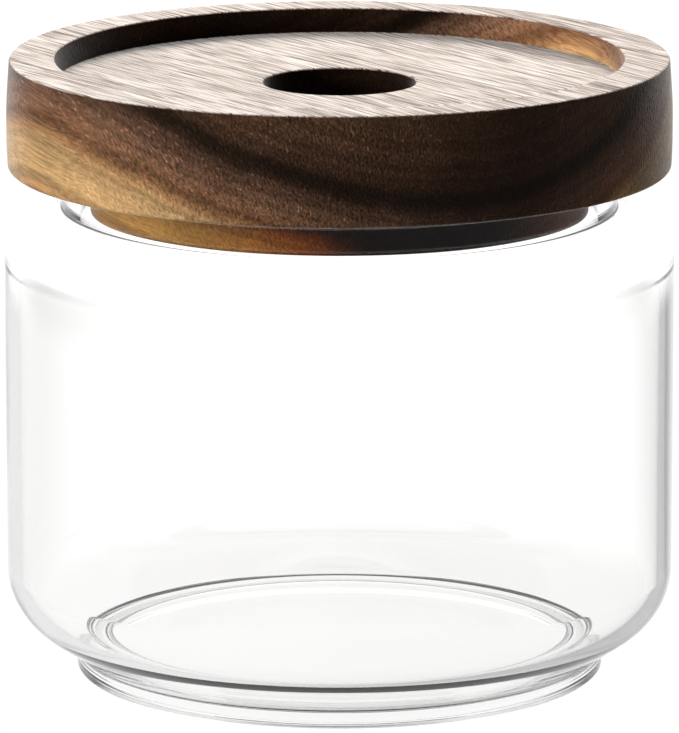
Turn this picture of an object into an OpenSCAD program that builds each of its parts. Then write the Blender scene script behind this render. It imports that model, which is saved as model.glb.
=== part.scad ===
// Round glass storage jar with a turned wooden lid that lifts off.
// Lengths are in millimetres. The origin is the middle of the plane that the foot rests on, and +Z is up.

/* [Glass body] */
// Diameter of the straight glass wall
body_d = 105; // [96:1:130]
// Height of the jar from the table to its rim
jar_h = 79.4; // [55:0.2:160]
// Thickness of the wall, the shoulder and the sloping bottom
wall = 2.2; // [1.8:0.1:3.5]
// Outer radius where the wall turns into the sloping bottom
corner_r = 11; // [5:0.5:14]
// Angle of the sloping bottom above the table, in degrees
bottom_slope = 35; // [15:1:50]
// Thickness of the glass floor above the hollow in the foot
floor_t = 1.8; // [1.5:0.1:4]
// Rounding inside, where the floor meets the sloping bottom
floor_round = 4; // [1:0.5:8]

/* [Shoulder and neck] */
// Width of the shoulder, from the straight wall in to the neck
shoulder_w = 9.1; // [8:0.1:12]
// Angle of the conical shoulder below the level, in degrees
shoulder_slope = 25; // [15:1:35]
// Outer radius where the wall turns into the shoulder
shoulder_r = 8; // [5:0.5:9]
// Height of the neck above the shoulder
neck_h = 5.2; // [4:0.2:12]
// Thickness of the neck
neck_wall = 2.8; // [2.6:0.1:4]
// Rounding of the rim's outer and inner edges
rim_round = 1; // [0.4:0.1:1.2]
// Small hollow where the neck meets the shoulder
neck_fillet = 0.6; // [0.2:0.1:1.2]
// Rounding where the bore opens under the shoulder
throat_round = 1; // [0.3:0.1:1.5]

/* [Foot] */
// How far the side of the foot lies inside the straight wall
foot_inset = 10.9; // [8:0.1:14]
// Height of the foot below the sloping bottom
foot_h = 3; // [2:0.1:5]
// Width of the ring that touches the table
foot_ring_w = 4.6; // [3.6:0.1:8]
// Depth of the hollow inside the foot ring
foot_hollow = 2.4; // [2:0.1:3]
// Rounding of the ring's inner bottom edge
ring_round = 1; // [0.4:0.1:1.2]
// Rounding in the upper corner of the hollow
hollow_round = 0.6; // [0.2:0.1:0.8]
// Rounding of the foot's outer bottom edge
foot_round = 0.6; // [0.2:0.1:1]
// Small hollow where the foot meets the sloping bottom
foot_fillet = 0.6; // [0.2:0.1:0.8]

/* [Lid] */
// Thickness of the lid's disc
lid_t = 17; // [12:0.5:24]
// How far the lid's side stays inside the glass wall
lid_setback = 0.5; // [0:0.1:3]
// Bulge of the lid's side at half height
lid_crown = 0.5; // [0.1:0.1:1]
// Rounding of the lid's lower edge
lid_low_round = 1.6; // [0.5:0.1:2.5]
// Rounding of the lid's upper edges
lid_top_round = 0.5; // [0.2:0.1:1]

/* [Recess and finger hole] */
// Depth of the recess that takes the foot of a jar stacked on top
recess_depth = 4; // [2.6:0.1:6]
// Gap all round between that foot and the wall of the recess
stack_gap = 2.7; // [1:0.1:4]
// Diameter of the blind finger hole
finger_d = 23.6; // [18:0.2:34]
// Depth of the finger hole below the recess
finger_depth = 13; // [6:0.5:14]
// Rounding of the finger hole's edge
finger_round = 0.6; // [0.2:0.1:1.5]

/* [Plug and seal] */
// Height of the plug below the disc
plug_h = 6.8; // [5:0.2:12]
// Gap all round between the plug and the bore of the neck
plug_gap = 1.6; // [0.6:0.1:2.4]
// Rounding of the plug's lower edge
plug_round = 1; // [0.3:0.1:2]
// Thickness of the seal ring between the disc and the rim
seal_t = 1; // [0.8:0.1:2]
// Depth of the groove at the plug's root that holds the seal ring
seal_grip = 0.5; // [0.2:0.1:1.2]
// How far the seal ring stays inside the neck's outer wall
seal_inset = 0.6; // [0.2:0.1:1]

/* [Hidden] */
$fn = 128;

// Straight steps in each rounded stretch of a turned outline, small and large
edge_steps = 5;
bend_steps = 18;
// Gap between the seal ring and the bottom of its groove
seal_ease = 0.05;

glass_colour = [0.82, 0.9, 0.91, 0.35];
wood_colour = [0.47, 0.31, 0.19];
seal_colour = [0.9, 0.89, 0.86];

body_r = body_d / 2;
neck_r = body_r - shoulder_w;
bore_r = neck_r - neck_wall;
foot_r = body_r - foot_inset;
ring_r = foot_r - foot_ring_w;

// Heights of the shoulder's crest and of the floor
shoulder_z = jar_h - neck_h;
floor_z = foot_hollow + floor_t;

// The shoulder is a cone between the neck and a round that ends upright at the wall
cone_end = 90 - shoulder_slope;
round_x = body_r - shoulder_r;
round_z = shoulder_z - (shoulder_r - (neck_r - round_x) * sin(shoulder_slope)) / cos(shoulder_slope);
neck_z = shoulder_z + neck_fillet * (1 - sin(shoulder_slope)) / cos(shoulder_slope);

// Under the shoulder, the same cone meets the bore
throat_x = bore_r + throat_round;
throat_z = shoulder_z - (wall - throat_round + (throat_x - neck_r) * sin(shoulder_slope)) / cos(shoulder_slope);

// The bottom slopes up from the top of the foot to a round that ends upright at the wall
slope_end = bottom_slope - 90;
fillet_z = foot_h + foot_fillet * (tan(bottom_slope) - 1 / cos(bottom_slope));
corner_x = body_r - corner_r;
corner_z = foot_h + (corner_x + corner_r * sin(bottom_slope) - foot_r) * tan(bottom_slope)
    + corner_r * cos(bottom_slope);

// Inside, the same slope comes down to the floor, which it would meet at the radius slope_r
slope_r = corner_x + (corner_r - wall) / sin(bottom_slope) - (corner_z - floor_z) / tan(bottom_slope);
floor_r = slope_r - floor_round * tan(bottom_slope / 2);

lid_z = jar_h + seal_t;
top_z = lid_z + lid_t;
lid_r = body_r - lid_setback;
side_r = lid_r - lid_crown;
recess_r = foot_r + stack_gap;
recess_z = top_z - recess_depth;
finger_r = finger_d / 2;
hole_z = recess_z - finger_depth;
plug_r = bore_r - plug_gap;
plug_z = lid_z - plug_h;
groove_r = plug_r - seal_grip;
seal_in_r = groove_r + seal_ease;
seal_r = neck_r - seal_inset;
seal_lip_r = seal_t / 2;

// Points of an arc about centre c, from angle a0 to angle a1
function arc(c, r, a0, a1, steps) =
    [for (i = [0 : steps]) let (a = a0 + (a1 - a0) * i / steps) c + r * [cos(a), sin(a)]];

// Points of a flat arc from height z0 to height z1 that bulges out from radius r
function bulge(r, z0, z1, rise, steps) =
    let (half = (z1 - z0) / 2, big_r = (half * half + rise * rise) / (2 * rise), a = asin(half / big_r))
    arc([r + rise - big_r, z0 + half], big_r, -a, a, steps);

// Underside of the foot, from the axis outwards, and the foot's side
function foot_outline() = concat(
    [[0, foot_hollow]],
    arc([ring_r - hollow_round, foot_hollow - hollow_round], hollow_round, 90, 0, edge_steps),
    arc([ring_r + ring_round, ring_round], ring_round, 180, 270, edge_steps),
    arc([foot_r - foot_round, foot_round], foot_round, -90, 0, edge_steps),
    arc([foot_r + foot_fillet, fillet_z], foot_fillet, 180, 90 + bottom_slope, edge_steps)
);

// Outside of the glass from the sloping bottom up to the rim
function outer_outline() = concat(
    arc([corner_x, corner_z], corner_r, slope_end, 0, bend_steps),
    arc([round_x, round_z], shoulder_r, 0, cone_end, bend_steps),
    arc([neck_r + neck_fillet, neck_z], neck_fillet, 180 + cone_end, 180, edge_steps),
    arc([neck_r - rim_round, jar_h - rim_round], rim_round, 0, 90, edge_steps)
);

// Inside of the glass from the rim down the bore and the wall to the floor
function inner_outline() = concat(
    arc([bore_r + rim_round, jar_h - rim_round], rim_round, 90, 180, edge_steps),
    arc([throat_x, throat_z], throat_round, 180, 180 + cone_end, edge_steps),
    arc([round_x, round_z], shoulder_r - wall, cone_end, 0, bend_steps),
    arc([corner_x, corner_z], corner_r - wall, 0, slope_end, bend_steps),
    arc([floor_r, floor_z + floor_round], floor_round, slope_end, -90, edge_steps * 2),
    [[0, floor_z]]
);

// Underside of the lid: the plug, its groove and the disc's lower edge
function plug_outline() = concat(
    [[0, plug_z]],
    arc([plug_r - plug_round, plug_z + plug_round], plug_round, -90, 0, edge_steps),
    [[plug_r, jar_h], [groove_r, jar_h], [groove_r, lid_z]],
    arc([side_r - lid_low_round, lid_z + lid_low_round], lid_low_round, -90, 0, edge_steps)
);

// Side and top of the lid: the bulged side, the ring, the recess and the finger hole
function disc_outline() = concat(
    bulge(side_r, lid_z + lid_low_round, top_z - lid_top_round, lid_crown, edge_steps * 2),
    arc([side_r - lid_top_round, top_z - lid_top_round], lid_top_round, 0, 90, edge_steps),
    arc([recess_r + lid_top_round, top_z - lid_top_round], lid_top_round, 90, 180, edge_steps),
    [[recess_r, recess_z]],
    arc([finger_r + finger_round, recess_z - finger_round], finger_round, 90, 180, edge_steps),
    [[finger_r, hole_z], [0, hole_z]]
);

// Clear glass: straight wall, conical shoulder, short neck, rounded bottom and low hollow foot
module glass_jar() {
    color(glass_colour)
        rotate_extrude()
            polygon(concat(foot_outline(), outer_outline(), inner_outline()));
}

// One turned piece of wood: disc with a recessed top, blind finger hole and plug
module wooden_lid() {
    color(wood_colour)
        rotate_extrude()
            polygon(concat(plug_outline(), disc_outline()));
}

// Flat rubber ring that sits in the groove at the plug's root and lies on the rim
module seal_ring() {
    color(seal_colour)
        rotate_extrude()
            polygon(concat(
                [[seal_in_r, lid_z], [seal_in_r, jar_h]],
                arc([seal_r - seal_lip_r, jar_h + seal_lip_r], seal_lip_r, -90, 90, edge_steps)
            ));
}

glass_jar();
wooden_lid();
seal_ring();
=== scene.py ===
import math

import bpy
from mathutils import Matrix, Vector


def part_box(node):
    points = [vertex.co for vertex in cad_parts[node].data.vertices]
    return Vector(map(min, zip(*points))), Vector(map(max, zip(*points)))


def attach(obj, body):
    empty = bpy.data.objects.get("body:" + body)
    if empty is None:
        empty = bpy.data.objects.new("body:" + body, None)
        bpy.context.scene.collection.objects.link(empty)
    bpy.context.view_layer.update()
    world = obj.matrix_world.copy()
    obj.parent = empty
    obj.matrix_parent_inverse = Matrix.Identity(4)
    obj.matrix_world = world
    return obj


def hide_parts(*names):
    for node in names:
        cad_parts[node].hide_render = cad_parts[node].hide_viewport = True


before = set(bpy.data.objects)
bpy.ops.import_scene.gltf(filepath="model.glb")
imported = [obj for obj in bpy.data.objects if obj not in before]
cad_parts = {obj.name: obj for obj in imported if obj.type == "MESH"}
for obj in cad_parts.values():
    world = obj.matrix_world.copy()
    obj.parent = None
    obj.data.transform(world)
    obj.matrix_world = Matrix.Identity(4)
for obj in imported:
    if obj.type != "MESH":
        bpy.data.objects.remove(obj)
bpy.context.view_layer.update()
print("frame loaded:", sorted(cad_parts))

mm = 0.001

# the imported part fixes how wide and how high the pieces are, and all three stand on one axis
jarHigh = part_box("glass_jar")[1]
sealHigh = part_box("seal_ring")[1]
lidLow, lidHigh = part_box("wooden_lid")

turning = {
    "shortestRun": 1e-7,
    "leastSteps": 4,
    "mergeWithin": 2e-6,
    "sharpFrom": math.radians(40),
    "faceWeight": 100,
}


def placeOf(point):
    return Vector((point[0], 0, point[1]))


def drawOutline(name, corners, degreesPerStep):
    # one point is pulled along the outline: straight runs by extrude, rounded corners by spin
    bpy.ops.object.select_all(action="DESELECT")
    bpy.ops.mesh.primitive_plane_add(size=mm, location=(0, 0, 0))
    piece = bpy.context.object
    piece.name = name
    piece.data.name = name
    bpy.ops.object.mode_set(mode="EDIT")
    bpy.ops.mesh.select_all(action="SELECT")
    bpy.ops.mesh.merge(type="CENTER")
    here = placeOf(corners[0])
    bpy.ops.transform.translate(value=here)
    for i, corner in enumerate(corners[1:], 1):
        place, rounding = placeOf(corner), corner[2]
        before = (place - here).normalized()
        if not rounding or i == len(corners) - 1:
            bpy.ops.mesh.extrude_region_move(TRANSFORM_OT_translate={"value": place - here})
            here = place
            continue
        after = (placeOf(corners[i + 1]) - place).normalized()
        turn = math.atan2(before.x * after.z - before.z * after.x, before.dot(after))
        cut = rounding * math.tan(abs(turn) / 2)
        tangent = place - before * cut
        if (tangent - here).length > turning["shortestRun"]:
            bpy.ops.mesh.extrude_region_move(TRANSFORM_OT_translate={"value": tangent - here})
        side = Vector((-before.z, 0, before.x)) * math.copysign(rounding, turn)
        steps = max(turning["leastSteps"], round(math.degrees(abs(turn)) / degreesPerStep))
        bpy.ops.mesh.spin(steps=steps, angle=turn, center=tangent + side, axis=(0, 1, 0))
        here = place + after * cut
    return piece


def turnOutline(piece, sides):
    # the outline goes once round the axis, which leaves a seam and poles to close
    bpy.ops.mesh.select_all(action="SELECT")
    bpy.ops.mesh.spin(steps=sides, angle=math.tau, center=(0, 0, 0), axis=(0, 0, 1))
    bpy.ops.mesh.select_all(action="SELECT")
    bpy.ops.mesh.remove_doubles(threshold=turning["mergeWithin"])
    bpy.ops.mesh.normals_make_consistent(inside=False)
    bpy.ops.object.mode_set(mode="OBJECT")
    bpy.ops.object.shade_smooth_by_angle(angle=turning["sharpFrom"])
    weighted = piece.modifiers.new("even shading", "WEIGHTED_NORMAL")
    weighted.weight = turning["faceWeight"]
    weighted.keep_sharp = True
    bpy.ops.object.modifier_apply(modifier=weighted.name)


jar = {
    "wall": 2.2 * mm,
    "cornerRound": 11 * mm,
    "bottomSlope": math.radians(35),
    "floor": 1.8 * mm,
    "floorRound": 4 * mm,
    "shoulder": 9.1 * mm,
    "shoulderSlope": math.radians(25),
    "shoulderRound": 8 * mm,
    "neck": 5.2 * mm,
    "neckWall": 2.8 * mm,
    "rimRound": 1 * mm,
    "neckFillet": 0.6 * mm,
    "throatRound": 1 * mm,
    "footInset": 10.9 * mm,
    "foot": 3 * mm,
    "footRing": 4.6 * mm,
    "footHollow": 2.4 * mm,
    "ringRound": 1 * mm,
    "hollowRound": 0.6 * mm,
    "footRound": 0.6 * mm,
    "degreesPerStep": 4,
    "sides": 256,
}


def makeJar(s):
    body, rim = jarHigh.x, jarHigh.z
    inner = body - s["wall"]
    neck = body - s["shoulder"]
    bore = neck - s["neckWall"]
    foot = body - s["footInset"]
    ring = foot - s["footRing"]
    floor = s["footHollow"] + s["floor"]
    rise = math.tan(s["bottomSlope"])
    fall = math.tan(s["shoulderSlope"])
    neckFoot = rim - s["neck"]

    # the sloping bottom and the shoulder are as thick as the wall, measured square to them
    bottomWall = s["wall"] / math.cos(s["bottomSlope"])
    shoulderWall = s["wall"] / math.cos(s["shoulderSlope"])
    outerBend = s["foot"] + s["footInset"] * rise
    innerBend = outerBend + bottomWall - s["wall"] * rise
    floorEdge = inner - (innerBend - floor) / rise
    outline = [
        (0, s["footHollow"], 0),
        (ring, s["footHollow"], s["hollowRound"]),
        (ring, 0, s["ringRound"]),
        (foot, 0, s["footRound"]),
        (foot, s["foot"], s["footRound"]),
        (body, outerBend, s["cornerRound"]),
        (body, neckFoot - (body - neck) * fall, s["shoulderRound"]),
        (neck, neckFoot, s["neckFillet"]),
        (neck, rim, s["rimRound"]),
        (bore, rim, s["rimRound"]),
        (bore, neckFoot + (neck - bore) * fall - shoulderWall, s["throatRound"]),
        (inner, neckFoot + (neck - inner) * fall - shoulderWall, s["shoulderRound"] - s["wall"]),
        (inner, innerBend, s["cornerRound"] - s["wall"]),
        (floorEdge, floor, s["floorRound"]),
        (0, floor, 0),
    ]
    piece = drawOutline("clear_jar", outline, s["degreesPerStep"])
    turnOutline(piece, s["sides"])
    return piece


def report(stage, piece):
    size = [round(x / mm, 2) for x in piece.dimensions]
    print(stage, len(piece.data.polygons), "faces", size)


glassJar = makeJar(jar)
report("jar turned:", glassJar)


lid = {
    "topInset": 0.5 * mm,  # the side leans in towards its two edges
    "lowInset": 0.14 * mm,
    "wideFrom": 3.2 * mm,
    "wideTo": 9.8 * mm,
    "bendRound": 60 * mm,
    "lowRound": 0.5 * mm,
    "topRound": 0.5 * mm,
    "recess": 4 * mm,
    "recessWall": 7.2 * mm,
    "recessCorner": 0.25 * mm,
    "fingerRadius": 11.8 * mm,
    "fingerDepth": 13 * mm,
    "fingerRound": 0.6 * mm,
    "plugRadius": 39 * mm,
    "plugRound": 1 * mm,
    "groove": 0.5 * mm,
    "seal": 1 * mm,
    "degreesPerStep": 9,
    "sides": 256,
}


def makeLid(s):
    under, top = sealHigh.z, lidHigh.z
    wide = lidHigh.x
    side = wide - s["topInset"]
    groove = s["plugRadius"] - s["groove"]
    recess = side - s["recessWall"]
    recessFloor = top - s["recess"]
    holeFloor = recessFloor - s["fingerDepth"]
    outline = [
        (0, lidLow.z, 0),
        (s["plugRadius"], lidLow.z, s["plugRound"]),
        (s["plugRadius"], under - s["seal"], 0),
        (groove, under - s["seal"], 0),
        (groove, under, 0),
        (wide - s["lowInset"], under, s["lowRound"]),
        (wide, under + s["wideFrom"], s["bendRound"]),
        (wide, under + s["wideTo"], s["bendRound"]),
        (side, top, s["topRound"]),
        (recess, top, s["topRound"]),
        (recess, recessFloor, s["recessCorner"]),
        (s["fingerRadius"], recessFloor, s["fingerRound"]),
        (s["fingerRadius"], holeFloor, s["recessCorner"]),
        (0, holeFloor, 0),
    ]
    piece = drawOutline("turned_lid", outline, s["degreesPerStep"])
    turnOutline(piece, s["sides"])
    return piece


woodenLid = makeLid(lid)
report("lid turned:", woodenLid)

for piece, body, node, slot in (
    (glassJar, "jar", "glass_jar", "clear_glass"),
    (woodenLid, "lid", "wooden_lid", "acacia_wood"),
):
    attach(piece, body)
    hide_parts(node)


def newMaterial(name):
    material = bpy.data.materials.new(name)
    material.use_nodes = True
    return material, material.node_tree


def makeNode(tree, kind, inputs=None, **settings):
    # a node with its settings, and each input set to a value or joined to another node's socket
    node = tree.nodes.new("ShaderNode" + kind)
    for key, value in settings.items():
        setattr(node, key, value)
    for key, value in (inputs or {}).items():
        if isinstance(value, bpy.types.NodeSocket):
            tree.links.new(value, node.inputs[key])
        else:
            node.inputs[key].default_value = value
    return node


def calculate(tree, operation, *values):
    node = makeNode(tree, "Math", dict(enumerate(values)), operation=operation)
    return node.outputs[0]


def multiply(tree, *values):
    product = values[0]
    for value in values[1:]:
        product = calculate(tree, "MULTIPLY", product, value)
    return product


def spread(tree, value, low, high, toLow, toHigh, smooth=True):
    node = makeNode(
        tree,
        "MapRange",
        {"Value": value, "From Min": low, "From Max": high, "To Min": toLow, "To Max": toHigh},
        interpolation_type="SMOOTHSTEP" if smooth else "LINEAR",
    )
    return node.outputs["Result"]


def blendColours(tree, kind, factor, first, second):
    node = makeNode(tree, "Mix", data_type="RGBA", blend_type=kind, clamp_factor=True)
    for socket, value in zip((node.inputs[0], node.inputs[6], node.inputs[7]), (factor, first, second)):
        if isinstance(value, bpy.types.NodeSocket):
            tree.links.new(value, socket)
        else:
            socket.default_value = value
    return node.outputs[2]


def greyOf(tree, value):
    return makeNode(tree, "CombineXYZ", {"X": value, "Y": value, "Z": value}).outputs[0]


def choose(tree, factor, first, second):
    return makeNode(tree, "Mix", {0: factor, 2: first, 3: second}).outputs[0]


def colourRamp(tree, value, stops):
    ramp = makeNode(tree, "ValToRGB", {"Fac": value})
    elements = ramp.color_ramp.elements
    while len(elements) < len(stops):
        elements.new(0.5)
    for element, (position, colour) in zip(elements, stops):
        element.position = position
        element.color = (*colour, 1)
    return ramp.outputs["Color"]


def along(tree, vector, direction):
    node = makeNode(tree, "VectorMath", {0: vector, 1: direction}, operation="DOT_PRODUCT")
    return node.outputs["Value"]


def inPlan(tree, vector):
    # the vector as seen from above
    return makeNode(tree, "VectorMath", {0: vector, 1: (1, 1, 0)}, operation="MULTIPLY").outputs[0]


def lengthOf(tree, vector):
    return makeNode(tree, "VectorMath", {0: vector}, operation="LENGTH").outputs["Value"]


def clouds(tree, length, detail):
    # soft clouds fixed to the piece, as long as given in millimetres along each axis
    place = makeNode(tree, "TexCoord").outputs["Object"]
    steps = [1 / (mm * x) for x in length]
    place = makeNode(tree, "VectorMath", {0: place, 1: steps}, operation="MULTIPLY").outputs[0]
    return makeNode(tree, "TexNoise", {"Vector": place, "Scale": 1, "Detail": detail}).outputs["Fac"]


def addBump(tree, shader, height, strength, distance):
    bump = makeNode(tree, "Bump", {"Height": height, "Strength": strength, "Distance": distance})
    tree.links.new(bump.outputs[0], shader.inputs["Normal"])
    return bump.outputs[0]


glass = {
    "ior": 1.5,
    "tint": (1.0, 0.997, 0.992, 1),
    "otherTint": (0.992, 0.995, 0.99, 1),
    "waveLength": (24, 24, 44),
    "waveDetail": 1,
    "waveBlend": (0.35, 0.65),
    "waveHeight": 0.06 * mm,
}


def makeGlass(s):
    material, tree = newMaterial("clear glass")
    shader = tree.nodes["Principled BSDF"]
    waves = clouds(tree, s["waveLength"], s["waveDetail"])
    share = spread(tree, waves, *s["waveBlend"], 0, 1)
    tint = blendColours(tree, "MIX", share, s["tint"], s["otherTint"])
    tree.links.new(tint, shader.inputs["Base Color"])
    addBump(tree, shader, waves, 1, s["waveHeight"])
    shader.inputs["Roughness"].default_value = 0
    shader.inputs["IOR"].default_value = s["ior"]
    shader.inputs["Transmission Weight"].default_value = 1
    return material


glassJar.data.materials.append(makeGlass(glass))
glassJar.visible_shadow = False


# Lengths are in millimetres. A pattern gives its length along the fibres, its width, detail and roughness.
wood = {
    "pithAcross": -6.5,  # where the middle of the tree lies, across the grain and above the foot
    "pithHeight": 146,
    "acrossGrain": (0.89, 0.45, 0),
    "grainTurn": math.degrees(math.atan2(-0.89, 0.45)),
    "grainDip": 6,
    "dashDip": 43,
    "slowWander": (60, 17, 2, 0.5),
    "slowReach": 2.8,
    "quickWander": (14, 2.6, 3, 0.5),
    "quickReach": 1.2,
    "rings": (  # colour at each distance from the pith
        (50, (0.095, 0.049, 0.027)),
        (55, (0.085, 0.042, 0.024)),
        (59.5, (0.062, 0.031, 0.018)),
        (61.6, (0.014, 0.008, 0.005)),
        (62.6, (0.014, 0.008, 0.005)),
        (64.2, (0.070, 0.036, 0.022)),
        (67, (0.155, 0.080, 0.047)),
        (70, (0.165, 0.078, 0.039)),
        (71.5, (0.33, 0.17, 0.074)),
        (73, (0.50, 0.305, 0.138)),
        (77, (0.57, 0.35, 0.155)),
        (79.5, (0.42, 0.235, 0.105)),
        (82, (0.27, 0.14, 0.07)),
        (86, (0.38, 0.21, 0.1)),
        (90, (0.34, 0.185, 0.09)),
    ),
    "yearly": {"scale": 0.62, "detail": 3, "edge": (0.3, 0.7), "tones": (0.8, 1.18)},
    "streaks": (13, 0.34, 3, 0.6),
    "dashes": (1.5, 0.33, 2, 0.55),
    "cutEdge": (0.2, 0.42),
    "figureEdge": (0.28, 0.72),
    "figureTones": (0.4, 1.65),
    "calmRings": (70, 74),  # the figure is calmer in the pale wood
    "calm": 0.45,
    # painted shade: a band across the grain is darker, which shades the side's right front, away from the
    # lamp
    "shadeBandStart": (-10, 18),  # the wood is darker between these places across the grain
    "shadeBandEnd": (22, 34),
    "shadeBandTone": 0.62,
    "patches": (25, 6, 2, 0.5),
    "patchEdge": (0.3, 0.7),
    "patchTones": (0.86, 1.14),
    "plugEdge": (80.2, 80.4),
    # painted shade under the disc: the plug's colour is darkened and tinted amber
    "plugShadeTint": (0.68, 0.57, 0.33, 1),
    # painted shade: a warmer, darker tint over the plug away from its left end
    "warmShadeStart": (-32, -14),
    "warmShadeTint": (0.85, 0.45, 0.2, 1),
    "plugStreakStart": (-17, -7),
    "plugStreakEnd": (12, 36),
    "plugStreakTint": (0.065, 0.045, 0.05, 1),
    "wallEdge": (45.0, 45.5),
    # painted light and shade on the walls of the recess and the finger hole
    "wallLightAndShadeRings": (58, 68),
    "wallLightAndShadeTones": (0.36, 1.4),
    "flecks": (1.3, 0.38, 1, 0.5),
    "fleckEdge": (0.6, 0.72),
    "fleckTone": 2.4,
    "fewFleckRings": (66, 72),
    "fewFlecks": 0.75,
    "roughness": 0.4,
    "specular": 0.05,
    "oil": 0.75,
    "topOil": 0.5,
    "oilRoughness": 0.36,
    "bumpStrength": 0.8,
    "bumpHeight": 0.3 * mm,
}

# painted sheen: the pale top colour stands in for the grazing sheen of the oiled top
paintedSheenTop = {
    "turn": math.degrees(math.atan2(-0.82, 0.57)),
    "dip": 1,
    "edge": (0.5, 0.9),
    "layers": (  # pattern, edge and weight of the pores, the strips and the patches
        ((13, 0.25, 1, 0.6), (0.36, 0.54), 0.6),
        ((36, 0.6, 3, 0.6), (0.32, 0.6), 0.44),
        ((45, 7, 2, 0.6), (0.35, 0.65), 0.16),
    ),
    "base": -0.21,
    # painted shade: the top darkens towards the right, away from the lamp
    "slant": -0.0016,
    "colours": (  # from open pores to the face, painted pale with sheen
        (0.0, (0.09, 0.052, 0.034)),
        (0.3, (0.27, 0.19, 0.143)),
        (0.62, (0.68, 0.57, 0.49)),
        (0.95, (0.95, 0.85, 0.77)),
    ),
}


def makeWood(s, top):
    material, tree = newMaterial("turned acacia")
    shader = tree.nodes["Principled BSDF"]
    coordinates = makeNode(tree, "TexCoord")
    place = makeNode(
        tree, "VectorMath", {0: coordinates.outputs["Object"], "Scale": 1 / mm}, operation="SCALE"
    ).outputs[0]
    normal = coordinates.outputs["Normal"]
    up = along(tree, place, (0, 0, 1))

    def pattern(shape, dip=s["grainDip"], turn=s["grainTurn"]):
        # noise stretched along the fibres
        length, width, detail, roughness = shape
        fibres = makeNode(
            tree,
            "Mapping",
            {
                "Vector": place,
                "Rotation": (0, math.radians(dip), math.radians(turn)),
                "Scale": (length, width, width),
            },
            vector_type="TEXTURE",
        ).outputs[0]
        inputs = {"Vector": fibres, "Scale": 1, "Detail": detail, "Roughness": roughness}
        return makeNode(tree, "TexNoise", inputs).outputs["Fac"]

    def wander(shape, reach):
        return calculate(tree, "MULTIPLY_ADD", pattern(shape), reach, -reach / 2)

    # distance from the pith, uneven as a tree grows
    across = calculate(tree, "ADD", along(tree, place, s["acrossGrain"]), -s["pithAcross"])
    height = calculate(tree, "ADD", up, -s["pithHeight"])
    ring = lengthOf(tree, makeNode(tree, "CombineXYZ", {"X": across, "Y": height}).outputs[0])
    ring = calculate(tree, "ADD", ring, wander(s["slowWander"], s["slowReach"]))
    ring = calculate(tree, "ADD", ring, wander(s["quickWander"], s["quickReach"]))

    low, high = s["rings"][0][0], s["rings"][-1][0]
    share = spread(tree, ring, low, high, 0, 1, smooth=False)
    colour = colourRamp(tree, share, [((x - low) / (high - low), shade) for x, shade in s["rings"]])

    # growth rings
    yearly = s["yearly"]
    inputs = {"W": ring, "Scale": yearly["scale"], "Detail": yearly["detail"]}
    growth = makeNode(tree, "TexNoise", inputs, noise_dimensions="1D").outputs["Fac"]
    growth = spread(tree, growth, *yearly["edge"], *yearly["tones"])

    # long fibres where the surface runs along the grain, short dashes where it cuts across
    grain = (math.cos(math.radians(s["grainTurn"])), math.sin(math.radians(s["grainTurn"])), 0)
    cutAcross = calculate(tree, "ABSOLUTE", along(tree, normal, grain))
    cutShare = spread(tree, cutAcross, *s["cutEdge"], 0, 1)
    mixed = choose(tree, cutShare, pattern(s["streaks"]), pattern(s["dashes"], s["dashDip"]))
    figure = spread(tree, mixed, *s["figureEdge"], *s["figureTones"], smooth=False)
    figure = choose(tree, spread(tree, ring, *s["calmRings"], 0, s["calm"]), figure, 1.0)

    # painted shade: the band across the grain darkens the right front of the side, away from the lamp
    shadeBand = calculate(
        tree,
        "MAXIMUM",
        spread(tree, across, *s["shadeBandStart"], 1, s["shadeBandTone"]),
        spread(tree, across, *s["shadeBandEnd"], s["shadeBandTone"], 1),
    )
    patches = spread(tree, pattern(s["patches"]), *s["patchEdge"], *s["patchTones"])
    bright = multiply(tree, growth, figure, shadeBand, patches)
    colour = blendColours(tree, "MULTIPLY", 1.0, colour, greyOf(tree, bright))

    # painted shade: the plug under the disc is darkened and tinted amber, warmer and darker away from its
    # left end, and a streak across its middle is darker still
    onPlug = spread(tree, up, *s["plugEdge"], 1, 0)
    # painted shade: the plug is darkened and tinted amber
    colour = blendColours(tree, "MULTIPLY", onPlug, colour, s["plugShadeTint"])
    # painted shade: warmer and darker away from the plug's lit left end
    warmShade = multiply(tree, spread(tree, across, *s["warmShadeStart"], 0, 1), onPlug)
    colour = blendColours(tree, "MULTIPLY", warmShade, colour, s["warmShadeTint"])
    plugStreakStart = spread(tree, across, *s["plugStreakStart"], 0, 1)
    plugStreakEnd = spread(tree, across, *s["plugStreakEnd"], 1, 0)
    plugStreak = multiply(tree, plugStreakStart, plugStreakEnd, onPlug)
    colour = blendColours(tree, "MULTIPLY", plugStreak, colour, s["plugStreakTint"])

    # painted light and shade on the walls of the recess and the finger hole: dark wood is painted darker
    # there, and pale wood paler
    onWall = spread(tree, lengthOf(tree, inPlan(tree, place)), *s["wallEdge"], 1, 0)
    onWall = multiply(tree, onWall, calculate(tree, "SUBTRACT", 1.0, onPlug))
    wallLightAndShade = spread(tree, ring, *s["wallLightAndShadeRings"], *s["wallLightAndShadeTones"])
    colour = blendColours(tree, "MULTIPLY", onWall, colour, greyOf(tree, wallLightAndShade))

    # bright flecks on the side, where pores catch the light, and few of them in pale wood
    sheltered = calculate(tree, "MAXIMUM", onPlug, onWall)
    flecks = spread(tree, pattern(s["flecks"], s["dashDip"]), *s["fleckEdge"], 1, s["fleckTone"])
    flecks = choose(tree, sheltered, flecks, 1.0)
    flecks = choose(tree, spread(tree, ring, *s["fewFleckRings"], 0, s["fewFlecks"]), flecks, 1.0)
    colour = blendColours(tree, "MULTIPLY", 1.0, colour, greyOf(tree, flecks))

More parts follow.
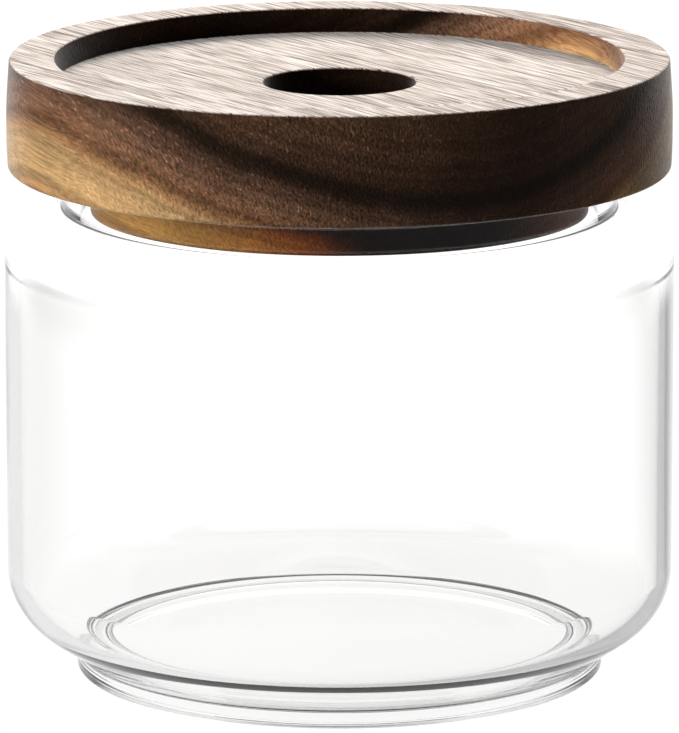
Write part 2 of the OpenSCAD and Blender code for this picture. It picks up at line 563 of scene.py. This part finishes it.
    # painted sheen: the top is painted pale, as its grazing sheen looks, and only its open pores stay dark
    onTop = spread(tree, along(tree, normal, (0, 0, 1)), *top["edge"], 0, 1)
    sheenAndPores = top["base"]
    for shape, edge, weight in top["layers"]:
        layer = spread(tree, pattern(shape, top["dip"], top["turn"]), *edge, 0, 1)
        sheenAndPores = calculate(tree, "MULTIPLY_ADD", layer, weight, sheenAndPores)
    # painted shade: the top darkens towards the right, away from the lamp
    sheenAndPores = calculate(tree, "MULTIPLY_ADD", along(tree, place, (1, 0, 0)), top["slant"], sheenAndPores)
    colour = blendColours(tree, "MIX", onTop, colour, colourRamp(tree, sheenAndPores, top["colours"]))
    tree.links.new(colour, shader.inputs["Base Color"])

    oil = choose(tree, sheltered, s["oil"], 0.0)
    tree.links.new(choose(tree, onTop, oil, s["topOil"]), shader.inputs["Coat Weight"])
    shader.inputs["Coat Roughness"].default_value = s["oilRoughness"]
    shader.inputs["Roughness"].default_value = s["roughness"]
    shader.inputs["Specular IOR Level"].default_value = s["specular"]
    bump = addBump(tree, shader, mixed, s["bumpStrength"], s["bumpHeight"])
    tree.links.new(bump, shader.inputs["Coat Normal"])
    return material


woodenLid.data.materials.append(makeWood(wood, paintedSheenTop))
woodenLid.visible_glossy = False


seal = {
    "colour": (0.80, 0.79, 0.76, 1),
    "otherColour": (0.73, 0.715, 0.68, 1),
    "cloudLength": (9, 9, 9),
    "cloudDetail": 3,
    "grainLength": (0.4, 0.4, 0.4),
    "grainDetail": 2,
    "blend": (0.3, 0.7),
    "roughness": (0.5, 0.68),
    "bumpStrength": 0.4,
    "bumpHeight": 0.04 * mm,
}


def makeSilicone(s):
    material, tree = newMaterial("milky silicone")
    shader = tree.nodes["Principled BSDF"]
    milk = spread(tree, clouds(tree, s["cloudLength"], s["cloudDetail"]), *s["blend"], 0, 1)
    colour = blendColours(tree, "MIX", milk, s["colour"], s["otherColour"])
    tree.links.new(colour, shader.inputs["Base Color"])
    grain = clouds(tree, s["grainLength"], s["grainDetail"])
    tree.links.new(spread(tree, grain, *s["blend"], *s["roughness"]), shader.inputs["Roughness"])
    addBump(tree, shader, grain, s["bumpStrength"], s["bumpHeight"])
    return material


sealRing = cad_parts["seal_ring"]
sealRing.data.materials.clear()
sealRing.data.materials.append(makeSilicone(seal))
print("materials made")


view = {
    "distance": 1.059,
    "height": 0.2857,
    "degreesDown": 12.662,
    "lens": 338.6,
    "sensor": 36,
    "clip": (0.05, 50),
}

studio = {
    "floorSize": 12,
    "floorPaint": 0.8,
    "fill": 0.009,  # what the room and the floor give to matt surfaces
    "floorFill": 0.022,
    "cameraGlow": 0.9,  # share of the floor's own light where no matt surface takes it up
    "glow": (1.03, 1.13),  # near and far
    "glowEdge": (0.5, 1.6),
    # seen through the glass
    "throughGlow": 1.12,
    "neckGlow": 1.3,
    "neckEdge": (0.25, 0.325),
    "bend": (0.9, 0.834),
    "leastReach": 0.5,
    "leftDim": (-0.066, -0.034),
    "leftDimBy": 0.28,
    "rightDim": (0.050, 0.080),
    "rightDimBy": 0.25,
    "contact": (0.055, 0.115),
    "contactDimBy": 0.2,
    # mirrored inside the glass, at the jar's edges and in its neck
    "leftEdge": 0.75,
    "rightEdge": 0.4,
    "middle": (-0.03, 0.03),
    "jarSide": 0.05,
    "leastDepth": 0.001,
    "cardSlant": 0.385,
    "cardEdge": (0.05, 0.13),
    "mirrorEdge": (0.285, 0.33),
    "frontCard": (0.45, 0.8),
    "frontMirror": 0.05,
    # mirrored softly by the oiled wood
    "glossReach": (0.62, 1.0),
    "frontGloss": 0.01,
    "backGlow": 1.0,
    "floorBackGlow": 1.35,
}


def rayKinds(tree):
    path = makeNode(tree, "LightPath").outputs
    through = calculate(tree, "GREATER_THAN", path["Transmission Depth"], 0.5)
    mirrored = calculate(tree, "GREATER_THAN", path["Glossy Depth"], 0.5)
    # an edge ray went into the glass, was mirrored there and came straight out
    edge = multiply(tree, through, mirrored, calculate(tree, "LESS_THAN", path["Transmission Depth"], 2.5))
    # the glass mirrors sharply and the oiled wood softly, so a soft reflection is one in the wood
    soft = calculate(tree, "SUBTRACT", 1.0, path["Is Singular Ray"])
    gloss = multiply(tree, path["Is Glossy Ray"], soft)
    scattered = calculate(tree, "GREATER_THAN", path["Diffuse Depth"], 0.5)
    return {"scattered": scattered, "through": through, "mirrored": mirrored, "edge": edge, "gloss": gloss}


def edgeTone(tree, place, s):
    # the floor is grey to the left, and has a dark card on the right: the jar's edges show that
    axes = makeNode(tree, "SeparateXYZ", {0: place}).outputs
    sideways = calculate(tree, "SUBTRACT", calculate(tree, "ABSOLUTE", axes["X"]), s["jarSide"])
    slant = calculate(tree, "DIVIDE", sideways, calculate(tree, "MAXIMUM", axes["Y"], s["leastDepth"]))
    right = spread(tree, axes["X"], *s["middle"], 0, 1)
    off = calculate(tree, "ABSOLUTE", calculate(tree, "ADD", slant, -s["cardSlant"]))
    card = spread(tree, off, *s["cardEdge"], 0.0, s["rightEdge"])
    return choose(tree, right, s["leftEdge"], card)


def towardsBack(tree, way):
    # 1 straight behind the jar, 0 on its left and right, and -1 in front
    level = makeNode(tree, "VectorMath", {0: inPlan(tree, way)}, operation="NORMALIZE").outputs[0]
    return makeNode(tree, "SeparateXYZ", {0: level}).outputs["Y"]


def roomTone(tree, way, kinds, seen, mirrored, backGlow):
    # how bright the white room is for each kind of ray
    tone = choose(tree, kinds["through"], 1.0, seen)
    tone = choose(tree, kinds["mirrored"], tone, 1.0)
    tone = choose(tree, kinds["edge"], tone, mirrored)
    sheen = spread(tree, towardsBack(tree, way), *studio["glossReach"], studio["frontGloss"], backGlow)
    return choose(tree, kinds["gloss"], tone, sheen)


def makeRoom(s):
    world = bpy.data.worlds.new("studio")
    world.use_nodes = True
    tree = world.node_tree
    way = makeNode(tree, "TexCoord").outputs["Generated"]
    kinds = rayKinds(tree)
    tone = roomTone(tree, way, kinds, s["neckGlow"], s["neckGlow"], s["backGlow"])
    tone = choose(tree, kinds["scattered"], tone, s["fill"])
    background = tree.nodes["Background"]
    background.inputs["Color"].default_value = (1, 1, 1, 1)
    tree.links.new(tone, background.inputs["Strength"])
    return world


def makeFloorPaint(s):
    material, tree = newMaterial("white floor")
    tree.nodes.remove(tree.nodes["Principled BSDF"])
    place = makeNode(tree, "TexCoord").outputs["Object"]
    kinds = rayKinds(tree)
    away = lengthOf(tree, place)
    axes = makeNode(tree, "SeparateXYZ", {0: place}).outputs

    # painted shade: seen through the walls, the floor dims to either side, and a painted shadow darkens it
    # close to the jar
    reach = calculate(tree, "ADD", axes["Y"], view["distance"])
    # the walls bend the rays outwards, and the farther the floor, the farther out they land
    reach = multiply(tree, reach, calculate(tree, "MULTIPLY_ADD", away, *s["bend"]))
    slant = calculate(tree, "DIVIDE", axes["X"], calculate(tree, "MAXIMUM", reach, s["leastReach"]))
    left = spread(tree, slant, *s["leftDim"], s["leftDimBy"], 0)
    right = spread(tree, slant, *s["rightDim"], 0, s["rightDimBy"])
    # painted shadow close to the jar
    contact = spread(tree, away, *s["contact"], s["contactDimBy"], 0)
    dim = calculate(tree, "MAXIMUM", calculate(tree, "MAXIMUM", left, right), contact)
    dim = calculate(tree, "SUBTRACT", s["throughGlow"], dim)
    seen = choose(tree, spread(tree, away, *s["neckEdge"], 0, 1), dim, s["neckGlow"])

    # dark cards lie in front and at the sides, where only the neck of the jar mirrors them
    beyond = spread(tree, away, *s["mirrorEdge"], 0, 1)
    mirrored = choose(tree, beyond, edgeTone(tree, place, s), s["neckGlow"])
    tone = roomTone(tree, place, kinds, seen, mirrored, s["floorBackGlow"])
    front = spread(tree, towardsBack(tree, place), *s["frontCard"], 1, 0)
    sharp = calculate(tree, "GREATER_THAN", kinds["mirrored"], kinds["gloss"])
    tone = choose(tree, multiply(tree, front, beyond, sharp), tone, s["frontMirror"])

    # the lamps don't reach the far floor, so it glows a little more to stay white
    strength = multiply(tree, tone, spread(tree, away, *s["glowEdge"], *s["glow"]))
    glow = makeNode(tree, "Emission", {"Strength": strength})
    matt = calculate(tree, "MAXIMUM", kinds["scattered"], kinds["gloss"])
    paint = makeNode(tree, "BsdfDiffuse")
    tree.links.new(choose(tree, matt, s["floorPaint"], s["floorFill"]), paint.inputs["Color"])
    share = calculate(tree, "MULTIPLY_ADD", kinds["scattered"], -s["cameraGlow"], s["cameraGlow"])
    surface = makeNode(tree, "MixShader", {0: share, 1: paint.outputs[0], 2: glow.outputs[0]})
    tree.links.new(surface.outputs[0], tree.nodes["Material Output"].inputs["Surface"])
    return material


bpy.ops.object.select_all(action="DESELECT")
bpy.ops.mesh.primitive_plane_add(size=studio["floorSize"], location=(0, 0, 0))
floor = bpy.context.object
floor.name = "studio_floor"
floor.data.materials.append(makeFloorPaint(studio))
bpy.context.scene.world = makeRoom(studio)


lamps = {
    "left": {"place": (-1.36, -0.64, 0.32), "size": 0.6, "power": 25},
    "back": {"place": (0.2, 1.4, 1.0), "size": 1.0, "power": 58},
}
lampTarget = Vector((0, 0, 0.08))


def addLamp(name, s):
    data = bpy.data.lights.new(name, "AREA")
    data.shape = "DISK"
    data.size = s["size"]
    data.energy = s["power"]
    lamp = bpy.data.objects.new(name, data)
    bpy.context.scene.collection.objects.link(lamp)
    lamp.location = s["place"]
    lamp.rotation_euler = (lampTarget - Vector(s["place"])).to_track_quat("-Z", "Y").to_euler()
    lamp.visible_glossy = False
    lamp.visible_transmission = False


for name, settings in lamps.items():
    addLamp(name, settings)


def addCamera(s):
    data = bpy.data.cameras.new("camera")
    data.lens = s["lens"]
    data.sensor_width = s["sensor"]
    data.clip_start, data.clip_end = s["clip"]
    camera = bpy.data.objects.new("camera", data)
    bpy.context.scene.collection.objects.link(camera)
    camera.location = (0, -s["distance"], s["height"])
    camera.rotation_euler = (math.radians(90 - s["degreesDown"]), 0, 0)
    return camera


bpy.context.scene.camera = addCamera(view)
bpy.context.scene.view_settings.view_transform = "Standard"
print("studio, lamps and camera set")
